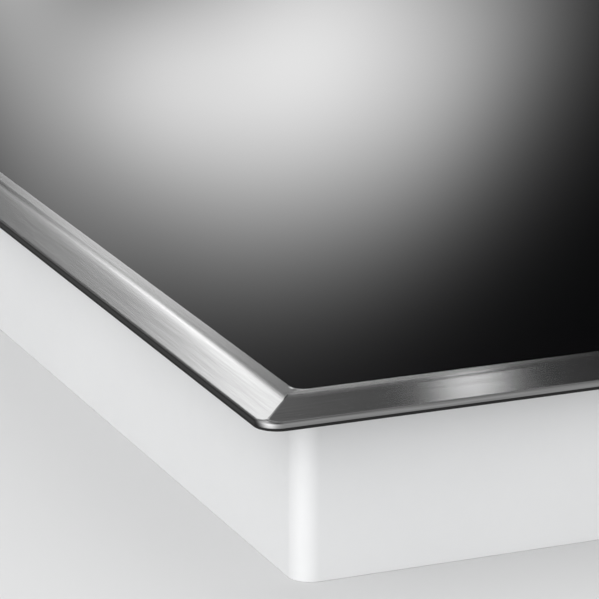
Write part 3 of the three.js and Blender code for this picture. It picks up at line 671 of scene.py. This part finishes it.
def add_trim_frame():
    """Folded steel: an upright band, a soft fold, a bevel that is mitred at the corners, and a lip."""
    low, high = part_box("trim_frame")
    glass_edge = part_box("glass_ceramic_top")[1].x
    half_x = high.x
    half_y = high.y
    lip_width = 4.0 * MM
    bevel_width = 10.3 * MM
    bevel_slope = 0.27
    crease_slope = 0.225
    crease_fade = 1.44 * MM
    bend_half = 1.15 * MM
    bottom_edge = 0.12 * MM
    fold_radius = 0.8 * MM
    skin = 0.8 * MM
    lip_skin = 0.4 * MM
    lip_edge = 0.2 * MM
    lip_flat = 0.9 * MM
    glass_gap = 0.3 * MM
    outer_radius = 5.8 * MM
    opening_radius = 3.6 * MM
    mitre_radius = 0.3 * MM
    bend_softening = 1.0 * MM
    least_fold_corner = 0.1 * MM
    mitre_start = 2.2 * MM
    mitre_blend = 1.3
    ease_width = 4.6 * MM
    corner_steps = 16
    fold_steps = 8
    blend_steps = 7
    ease_steps = 8
    bend_steps = 8
    edge_steps = 4
    slope = math.atan(bevel_slope)
    bend_start = bevel_width - bend_half
    bend_end = bevel_width + bend_half

    def top_height(inset):
        """The bevel eases a little next to the lip and is bent evenly into it."""
        remaining = max(0.0, bend_end - max(inset, bend_start))
        height = high.z - crease_slope * remaining ** 2 / (4 * bend_half)
        below = max(0.0, bend_start - inset)
        eased = below - crease_fade * (1 - math.exp(-below / crease_fade))
        return height - crease_slope * below - (bevel_slope - crease_slope) * eased

    profile = []

    # upright band and the fold over it
    fold_reach = fold_radius * math.tan((math.pi / 2 - slope) / 2)
    fold_start = top_height(0) - fold_reach
    profile.append((bottom_edge, low.z, outer_radius - bottom_edge))
    profile.append((0.0, low.z + bottom_edge, outer_radius))
    fold_top = 90 + math.degrees(slope)
    fold_arc = arc((fold_radius, fold_start), fold_radius, 180, fold_top, fold_steps)
    fold_end = fold_arc[-1][0]
    fold_corner = outer_radius - fold_end * (math.sqrt(2) + 1) + least_fold_corner
    for inset, height in fold_arc:
        radius = outer_radius + (fold_corner - outer_radius) * inset / fold_end
        profile.append((inset, height, radius))

    # the bevel's corner runs from the round fold into a straight mitre
    for step in range(1, blend_steps + 1):
        share = step / blend_steps
        inset = fold_end + (mitre_start - fold_end) * share
        radius = mitre_radius + (fold_corner - mitre_radius) * (1 - share) ** mitre_blend
        profile.append((inset, top_height(inset), radius))

    # the bevel turns into the level lip with a soft bend, whose mitre is softer too
    ease_start = bevel_width - ease_width
    for step in range(ease_steps):
        inset = ease_start + (bend_start - ease_start) * step / ease_steps
        profile.append((inset, top_height(inset), mitre_radius))
    for step in range(bend_steps + 1):
        share = step / bend_steps
        inset = bend_start + (bend_end - bend_start) * share
        profile.append((inset, top_height(inset), mitre_radius + bend_softening * share))

    # the lip and its rounded inner edge
    opening = bevel_width + lip_width
    edge_centre = (opening - lip_edge, high.z - lip_edge)
    profile.append((opening - lip_edge - lip_flat, high.z, opening_radius))
    for inset, height in arc(edge_centre, lip_edge, 90, 0, edge_steps):
        profile.append((inset, height, opening_radius + opening - inset))

    # the inner skin, hidden between the glass and the bond
    profile.append((opening, high.z - lip_skin, opening_radius))
    pocket = half_x - glass_edge - glass_gap
    profile.append((pocket, high.z - lip_skin, opening_radius))
    profile.append((bevel_width, top_height(bevel_width) - skin, mitre_radius))
    profile.append((mitre_start, top_height(mitre_start) - skin, mitre_radius))
    profile.append((skin, top_height(skin) - skin, outer_radius - skin))
    profile.append((skin, low.z, outer_radius - skin))

    def build(bm):
        frame_ring(bm, half_x, half_y, profile, corner_steps)

    mesh = mesh_from("trim_frame_folded", build)
    weigh_normals(add_piece("trim_frame_folded", mesh, "brushed_steel", replaces=["trim_frame"]))


# ---------------------------------------------------------------- refined CAD solids

# Width of the rounded edges, in mm; a node's name starts with one of these words
EDGE_WIDTHS = {
    "glass_ceramic_top": 0.35,
    "frame_bond": 0.1,
    "worktop_seal": 0.12,
    "glass_carrier_frame": 0.15,
    "carrier_bond": 0.1,
    "bottom_housing": 0.3,
    "base_insulation": 0.1,
    "clamp": 0.25,
    "coil_carrier": 0.3,
    "mica_disc": 0.1,
    "temperature_sensor": 0.4,
    "coil_plate": 0.2,
    "fan_housing": 0.4,
    "fan_impeller": 0.12,
    "fan_motor": 0.3,
    "power_board": 0.1,
    "heat_sink": 0.2,
    "dc_link_capacitor": 0.9,
    "filter_board": 0.1,
    "filter_capacitor": 0.9,
    "control_board_holder": 0.3,
    "control_board": 0.1,
    "display_module": 0.3,
    "terminal_box": 0.35,
    "terminal_cover": 0.3,
    "terminal_block": 0.35,
    "cable_grommet": 0.5,
}
LEADS = ("mains_lead", "power_lead_left", "power_lead_right", "control_cable")


def refine_solids():
    for node in NODES:
        width = entry_for(node, EDGE_WIDTHS)
        if width:
            refine(node, width * MM)


def smooth_lead(node):
    """The CAD lead has few sides; its triangles are joined to quads and subdivided until it is round."""
    def build(bm):
        bm.from_mesh(NODES[node].data)
        bmesh.ops.remove_doubles(bm, verts=bm.verts, dist=SAME_PLACE)
        bmesh.ops.join_triangles(
            bm,
            faces=bm.faces,
            angle_face_threshold=math.radians(40),
            angle_shape_threshold=3.1,
        )

    mesh = mesh_from(node + "_round", build)
    piece = add_piece(node + "_round", mesh, "wire_sleeve", replaces=[node])
    subdivision = piece.modifiers.new("round", "SUBSURF")
    subdivision.levels = 2
    subdivision.render_levels = 2


# ---------------------------------------------------------------- coils

def wind_coil(corner):
    """A flat coil of litz wire, wound as one spiral."""
    node = "coil_winding_" + corner
    low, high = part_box(node)
    middle = (low + high) / 2
    thickness = high.z - low.z
    outer = (high.x - low.x) / 2
    inner = 22 * MM
    looseness = 1.02
    turns = round((outer - inner) / (thickness * looseness))
    pitch = (outer - inner) / turns
    radius = min(pitch, thickness) / 2
    steps_per_turn = 56
    points = []
    for step in range((turns - 1) * steps_per_turn + 1):
        turn = step / steps_per_turn
        angle = 2 * math.pi * turn
        reach = inner + pitch / 2 + pitch * turn
        x = middle.x + reach * math.cos(angle)
        y = middle.y + reach * math.sin(angle)
        points.append(Vector((x, y, middle.z)))
    mesh = mesh_from("litz_spiral_" + corner, lambda bm: tube(bm, points, radius, 10))
    add_piece("litz_spiral_" + corner, mesh, "copper_litz", replaces=[node])


def add_ferrites(corner):
    """Eight flat ferrite bars in the windows of the coil's carrier."""
    low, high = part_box("coil_carrier_" + corner)
    middle = (low + high) / 2
    rim = 10.5 * MM
    bar_half = 6.2 * MM
    below_face = 0.1 * MM
    bar_low = (29 * MM, -bar_half, low.z + below_face)
    bar_high = ((high.x - low.x) / 2 - rim, bar_half, high.z - below_face)
    count = 8

    def build(bm):
        for index in range(count):
            bar = bmesh.new()
            block(bar, bar_low, bar_high, 0.4 * MM)
            turn = Matrix.Rotation(2 * math.pi * (index + 0.5) / count, 4, "Z")
            place = Matrix.Translation((middle.x, middle.y, 0)) @ turn
            bmesh.ops.transform(bar, matrix=place, verts=bar.verts)
            made = bpy.data.meshes.new("bar")
            bar.to_mesh(made)
            bar.free()
            bm.from_mesh(made)
            bpy.data.meshes.remove(made)

    name = "ferrite_bars_" + corner
    weigh_normals(add_piece(name, mesh_from(name, build), "ferrite"))


# Where the springs under the coil plates stand, in mm
SPRING_PLACES = {
    "left": ((-240, -120), (-40, -120), (-250, 215), (-60, 205)),
    "right": ((240, -120), (40, -120), (245, 212), (130, 150)),
}


def add_springs(side):
    """Coil springs that press the coil plate up against the glass."""
    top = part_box("coil_plate_" + side)[0].z
    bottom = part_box("base_insulation")[1].z
    wire = 0.6 * MM
    radius = 5 * MM
    coils = 6
    steps = 20

    def build(bm):
        for x, y in SPRING_PLACES[side]:
            foot = Vector((x * MM, y * MM, bottom + wire))
            points = []
            for step in range(coils * steps + 1):
                turn = step / steps
                # the end coils lie flat
                share = min(1.0, max(0.0, (turn - 1) / (coils - 2)))
                height = (top - bottom - 2 * wire) * share
                angle = 2 * math.pi * turn
                points.append(foot + Vector((radius * math.cos(angle), radius * math.sin(angle), height)))
            tube(bm, points, wire, 8)

    name = "coil_plate_springs_" + side
    add_piece(name, mesh_from(name, build), "zinc_plated")


# ---------------------------------------------------------------- electronics

def wind_choke():
    """The mains filter's ring core with its two copper windings."""
    low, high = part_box("filter_choke")
    middle = (low + high) / 2
    ring = (high.x - low.x) / 2 - (high.z - low.z) / 2
    wire = 0.6 * MM
    core = (high.z - low.z) / 2 - 2 * wire
    coil = core + wire

    def build_core(bm):
        points = []
        steps = 48
        for step in range(steps):
            angle = 2 * math.pi * step / steps
            points.append(middle + Vector((ring * math.cos(angle), ring * math.sin(angle), 0)))
        tube(bm, points, core, 16, closed=True)

    def build_windings(bm):
        coils = 13
        steps = 18
        span = math.radians(128)
        first = math.radians(26)
        for start in (first, first + math.pi):
            points = []
            for step in range(coils * steps + 1):
                share = step / (coils * steps)
                around = start + span * share
                turn = 2 * math.pi * coils * share
                reach = ring + coil * math.cos(turn)
                offset = (reach * math.cos(around), reach * math.sin(around), coil * math.sin(turn))
                points.append(middle + Vector(offset))
            tube(bm, points, wire, 8)

    core_mesh = mesh_from("filter_choke_core", build_core)
    add_piece("filter_choke_core", core_mesh, "ferrite", replaces=["filter_choke"])
    coil_mesh = mesh_from("filter_choke_windings", build_windings)
    add_piece("filter_choke_windings", coil_mesh, "copper_litz")


def free_place(board, taken, dice, half_x, half_y):
    """A random place on a board where a part of this size clears the parts placed before it."""
    low, high = board
    gap = 1.5 * MM
    tries = 60
    for _ in range(tries):
        x = dice.uniform(low.x + half_x + gap, high.x - half_x - gap)
        y = dice.uniform(low.y + half_y + gap, high.y - half_y - gap)
        box = (x - half_x - gap, y - half_y - gap, x + half_x + gap, y + half_y + gap)
        clear = True
        for other in taken:
            apart_x = box[2] < other[0] or box[0] > other[2]
            apart_y = box[3] < other[1] or box[1] > other[3]
            clear = clear and (apart_x or apart_y)
        if clear:
            taken.append(box)
            return x, y
    return None


def populate(node, neighbours, chips, cans, seed):
    """Small parts on a board: flat chips in one piece and round capacitors in another."""
    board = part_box(node)
    top = board[1].z
    dice = random.Random(seed)
    taken = []
    for name in neighbours:
        low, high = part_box(name)
        taken.append((low.x, low.y, high.x, high.y))
    chip_places = []
    for _ in range(chips):
        half_x = dice.choice((1.0, 1.6, 2.5, 4.0)) * MM
        half_y = dice.choice((0.6, 1.6, 2.5)) * MM
        place = free_place(board, taken, dice, half_x, half_y)
        if place:
            chip_places.append((place, half_x, half_y, min(half_x, half_y) * 0.9))
    can_places = []
    for _ in range(cans):
        radius = dice.choice((2.5, 4.0, 5.0)) * MM
        place = free_place(board, taken, dice, radius, radius)
        if place:
            can_places.append((place, radius, radius * dice.uniform(2.0, 2.6)))

    def build_chips(bm):
        for (x, y), half_x, half_y, height in chip_places:
            block(bm, (x - half_x, y - half_y, top), (x + half_x, y + half_y, top + height), 0.15 * MM)

    def build_cans(bm):
        for (x, y), radius, height in can_places:
            profile = (
                (0.0, radius * 0.92),
                (0.3 * MM, radius),
                (1.2 * MM, radius),
                (1.5 * MM, radius * 0.94),
                (1.8 * MM, radius),
                (height - 0.4 * MM, radius),
                (height, radius * 0.9),
            )
            turned(bm, profile, (x, y, top), (0, 0, 1), 24)

    if chip_places:
        chip_mesh = mesh_from(node + "_chips", build_chips)
        weigh_normals(add_piece(node + "_chips", chip_mesh, "black_plastic"))
    if can_places:
        can_mesh = mesh_from(node + "_capacitors", build_cans)
        weigh_normals(add_piece(node + "_capacitors", can_mesh, "aluminium"))


def populate_boards():
    for seed, side in enumerate(SIDES, start=1):
        others = ("heat_sink_" + side, "dc_link_capacitor_" + side)
        populate("power_board_" + side, others, chips=46, cans=7, seed=seed)
    populate("filter_board", ("filter_choke", "filter_capacitor"), chips=12, cans=3, seed=7)
    populate("control_board", ("display_module",), chips=60, cans=0, seed=11)


# ---------------------------------------------------------------- screws

def add_housing_screws():
    """Screws through the housing's upper edge into the carrier frame under the glass."""
    low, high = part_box("bottom_housing")
    height = 40.5 * MM
    radius = 3.6 * MM
    head = 2.0 * MM
    side_places = (-80 * MM, 30 * MM, 150 * MM)
    front_places = (-150 * MM, 30 * MM, 200 * MM)
    rear_places = (-210 * MM, -75 * MM, 205 * MM)

    def build(bm):
        for y in side_places:
            screw_head(bm, (low.x, y, height), (-1, 0, 0), radius, head)
            screw_head(bm, (high.x, y, height), (1, 0, 0), radius, head)
        for x in front_places:
            screw_head(bm, (x, low.y, height), (0, -1, 0), radius, head)
        for x in rear_places:
            screw_head(bm, (x, high.y, height), (0, 1, 0), radius, head)

    weigh_normals(add_piece("housing_screws", mesh_from("housing_screws", build), "zinc_plated"))


def add_terminal_screws():
    """One clamping screw in the well of each pole of the terminal block."""
    low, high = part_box("terminal_block")
    poles = 6
    pitch = (high.x - low.x) / poles
    well_from_rear = 5 * MM
    well_depth = 6 * MM
    radius = 2.7 * MM
    head = 1.8 * MM

    def build(bm):
        for pole in range(poles):
            x = low.x + pitch * (pole + 0.5)
            base = (x, high.y - well_from_rear, high.z - well_depth)
            screw_head(bm, base, (0, 0, 1), radius, head)

    weigh_normals(add_piece("terminal_screws", mesh_from("terminal_screws", build), "zinc_plated"))


# ---------------------------------------------------------------- touch marks on the glass

def add_touch_marks():
    """Fired ink on the glass over the touch control: bars, rings and dots, without any lettering."""
    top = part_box("glass_ceramic_top")[1].z
    thickness = 0.012 * MM
    row = -213 * MM
    line = 0.35 * MM
    sliders = (-112 * MM, -62 * MM, 62 * MM, 112 * MM)
    bars = 9
    bar_pitch = 2.6 * MM
    bar_half = 0.3 * MM
    shortest_bar = 0.9 * MM
    bar_growth = 0.22 * MM
    sign_place = 15.5 * MM
    sign_half = 1.7 * MM
    dots_above = 9 * MM
    dot_place = 1.8 * MM
    dot_half = 0.4 * MM
    zone_ring = 1.3 * MM
    outer_marks = 150 * MM
    corners = ((-1, -1), (-1, 1), (1, -1), (1, 1))

    def mark(bm, centre_x, centre_y, half_x, half_y):
        low = (centre_x - half_x, centre_y - half_y, top)
        high = (centre_x + half_x, centre_y + half_y, top + thickness)
        block(bm, low, high)

    def ring(bm, centre_x, centre_y, radius, gap=0.0):
        """A flat ring; gap is half the angle that it leaves open at the rear, in radians."""
        centre = Vector((centre_x, centre_y, top + thickness))
        count = 40
        inner = []
        outer = []
        for step in range(count + 1):
            angle = math.pi / 2 + gap + (2 * math.pi - 2 * gap) * step / count
            way = Vector((math.cos(angle), math.sin(angle), 0))
            inner.append(bm.verts.new(centre + way * (radius - line)))
            outer.append(bm.verts.new(centre + way * radius))
        for step in range(count):
            bm.faces.new((inner[step], outer[step], outer[step + 1], inner[step + 1]))

    def build(bm):
        for zone, x in enumerate(sliders):
            # a slider of short bars for each zone, with a minus and a plus at its ends
            for step in range(bars):
                along = (step - (bars - 1) / 2) * bar_pitch
                mark(bm, x + along, row, bar_half, shortest_bar + bar_growth * step)
            mark(bm, x - sign_place, row, sign_half, line / 2)
            mark(bm, x + sign_place, row, sign_half, line / 2)
            mark(bm, x + sign_place, row, line / 2, sign_half)
            # which zone: four dots, with a ring on the zone's own place
            for index, (side, depth) in enumerate(corners):
                dot_x = x + side * dot_place
                dot_y = row + dots_above + depth * dot_place
                if index == zone:
                    ring(bm, dot_x, dot_y, zone_ring)
                else:
                    mark(bm, dot_x, dot_y, dot_half, dot_half)
        # on and off: an open ring with a stroke
        ring(bm, -outer_marks, row, 3.0 * MM, gap=0.5)
        mark(bm, -outer_marks, row + 2.6 * MM, line / 2, 1.6 * MM)
        # the child lock: a block under a ring
        mark(bm, outer_marks, row - 1.0 * MM, 2.0 * MM, 1.5 * MM)
        ring(bm, outer_marks, row + 1.0 * MM, 1.7 * MM)

    mesh = mesh_from("touch_marks", build)
    add_piece("touch_marks", mesh, "black_glass", made=PRINT, smooth=False)


# ---------------------------------------------------------------- stage, light and camera

def add_floor():
    """A pale floor, which shiny faces don't mirror."""
    radius = 30
    segments = 96

    def build(bm):
        bmesh.ops.create_circle(bm, cap_ends=True, segments=segments, radius=radius)

    mesh = mesh_from("floor", build)
    floor = bpy.data.objects.new("floor", mesh)
    bpy.context.scene.collection.objects.link(floor)

    def finish(nodes):
        cloud = nodes.noise(nodes.coordinates(), scale=3, detail=3)
        return {
            "Base Color": nodes.colours(cloud, grey(0.70, 0.002), grey(0.71, 0.002)),
            "Roughness": 0.9,
            "Specular IOR Level": 0.0,
        }

    mesh.materials.append(material("floor", finish))
    floor.visible_glossy = False


def soft_light(nodes, heading, elevation, half_width, half_height, lean, strength, flatness):
    """A round or oval light that fades like a bell curve. Angles are in degrees: heading runs from +Y
    towards +X, elevation from level upwards, and lean turns the oval from upright towards +X. A
    flatness above 1 gives it an even middle and a steeper rim."""
    direction = nodes.add("TexCoord").outputs["Generated"]
    parts = nodes.add("SeparateXYZ", {"Vector": direction}).outputs
    to_degrees = 180 / math.pi
    turned = nodes.math("MULTIPLY", nodes.math("ARCTAN2", parts["X"], parts["Y"]), to_degrees)
    raised = nodes.math("MULTIPLY", nodes.math("ARCSINE", parts["Z"]), to_degrees)
    aside = nodes.math("WRAP", nodes.math("SUBTRACT", turned, heading), 180.0, -180.0)
    above = nodes.math("SUBTRACT", raised, elevation)
    cosine = math.cos(math.radians(lean))
    sine = math.sin(math.radians(lean))
    across = nodes.math("MULTIPLY_ADD", aside, cosine, nodes.math("MULTIPLY", above, -sine))
    along = nodes.math("MULTIPLY_ADD", aside, sine, nodes.math("MULTIPLY", above, cosine))
    wide = nodes.math("POWER", nodes.math("DIVIDE", across, half_width), 2.0)
    tall = nodes.math("POWER", nodes.math("DIVIDE", along, half_height), 2.0)
    away = nodes.math("POWER", nodes.math("ADD", wide, tall), flatness)
    fall = nodes.math("EXPONENT", nodes.math("MULTIPLY", away, -0.5))
    return nodes.math("MULTIPLY", fall, strength)


# Each light's heading, elevation, half width, half height, lean, strength and flatness.
# A fitted row holds what a least-squares fit to the photograph's brightness gave. Those that
# began in that fit and were changed say so, and all the others were set one by one.
LIGHTS = (
    # a bright window, for the glass: four fitted rows
    (22.7, 13.1, 2.04, 1.56, 41, 2.47, 1),
    (20.1, 13.2, 1.06, 1.09, -10, 1.04, 1),
    (17.7, 9.3, 0.90, 3.27, 8, 1.41, 1),
    (25.0, 13.4, 0.85, 1.59, -33, 0.39, 1),
    # the lip of the left side, and the streak along its bevel: two fitted rows, and one that
    # began in the fit
    (17.0, 20.8, 2.21, 1.97, 36, 0.52, 1),
    (9.1, 28.0, 0.89, 5.85, -40, 3.77, 1),
    (12.0, 22.6, 2.3, 0.94, -31, 2.6, 1),
    # the patch on the bevel of the front side, which began in the fit, and on its lip
    (34.3, 43.3, 0.58, 1.73, 30, 6.8, 2.5),
    (26.95, 25.5, 0.4, 2.6, 11, 3.1, 2),
    # the rest of that bevel, which began in the fit, and the crease between it and the lip
    (19.7, 54.5, 6.48, 8.62, 24, 2.4, 1),
    (25.3, 29.5, 2.6, 5.0, 20, 0.3, 1),
    # the fold and the band of the left side
    (-9.0, 20.0, 8.0, 11.0, 0, 0.24, 1),
    (-20.0, -16.0, 14.0, 12.0, 0, 0.09, 1),
    # the fold and the band of the front side
    (54.0, 62.0, 8.0, 5.5, 0, 0.5, 1),
    (90.0, 66.0, 26.0, 10.0, 0, 0.34, 1),
    (128.0, 38.0, 26.0, 12.0, 0, 0.4, 1),
    (158.0, -10.0, 34.0, 30.0, 0, 0.56, 1),
    # the rounded corner between the two sides
    (-12.0, 38.0, 8.0, 6.0, 0, 0.4, 1),
    (-56.0, 42.0, 26.0, 11.0, 0, 0.6, 1),
    (-100.0, 30.0, 26.0, 30.0, 0, 1.0, 1),
    (-128.0, -14.0, 26.0, 18.0, 0, 2.0, 1),
    # overhead, for level faces that are seen from above
    (0.0, 88.0, 180.0, 9.0, 0, 0.5, 1),
)
# what a reflection sees where there is no light
LEAST_LIGHT = 0.008


def add_world():
    """Reflections see the lights, matt faces an even pale sky, and the camera a pale backdrop."""
    world = bpy.data.worlds.new("studio")
    bpy.context.scene.world = world
    world.use_nodes = True
    world.cycles.sampling_method = "NONE"
    nodes = Nodes(world.node_tree)
    total = LEAST_LIGHT
    for light in LIGHTS:
        total = nodes.math("ADD", total, soft_light(nodes, *light))
    path = nodes.add("LightPath").outputs
    sky = grey(0.93, 0.003)
    backdrop = grey(0.69, 0.002)
    lit = nodes.colours(path["Is Diffuse Ray"], total, sky)
    shown = nodes.colours(path["Is Camera Ray"], lit, backdrop)
    background = world.node_tree.nodes["Background"]
    nodes.feed(background.inputs["Color"], shown)
    background.inputs["Strength"].default_value = 1.0


def add_sun():
    """A very soft light from the front left, which shiny faces don't mirror."""
    from_overhead = math.radians(64)
    from_front = math.radians(-60)
    data = bpy.data.lights.new("soft_sun", "SUN")
    data.energy = 1.4
    data.angle = math.radians(70)
    sun = bpy.data.objects.new("soft_sun", data)
    sun.visible_glossy = False
    sun.rotation_euler = (from_overhead, 0, from_front)
    bpy.context.scene.collection.objects.link(sun)


def add_camera():
    """Looks down on the front left corner of the frame from the front."""
    azimuth = math.radians(-22.69)
    elevation = math.radians(16.57)
    distance = 0.8745
    focal_length = 220.75
    sensor_width = 36
    aim_from_corner = Vector((17.55, 19.61, 20.68)) * MM
    low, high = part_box("trim_frame")
    aim = Vector((low.x, low.y, high.z)) + aim_from_corner
    flat = math.cos(elevation)
    back = Vector((math.sin(azimuth) * flat, -math.cos(azimuth) * flat, math.sin(elevation)))
    data = bpy.data.cameras.new("camera")
    data.lens = focal_length
    data.sensor_width = sensor_width
    data.clip_start = 0.05
    data.clip_end = 200
    camera = bpy.data.objects.new("camera", data)
    camera.location = aim + back * distance
    camera.rotation_euler = (-back).to_track_quat("-Z", "Y").to_euler()
    bpy.context.scene.collection.objects.link(camera)
    bpy.context.scene.camera = camera


add_camera()
add_world()
add_sun()
add_floor()
bpy.context.scene.view_settings.view_transform = "Standard"

dress_cad_nodes()
add_trim_frame()
refine_solids()
for lead in LEADS:
    smooth_lead(lead)
for place in CORNERS:
    wind_coil(place)
    add_ferrites(place)
for half in SIDES:
    add_springs(half)
wind_choke()
populate_boards()
add_housing_screws()
add_terminal_screws()
add_touch_marks()
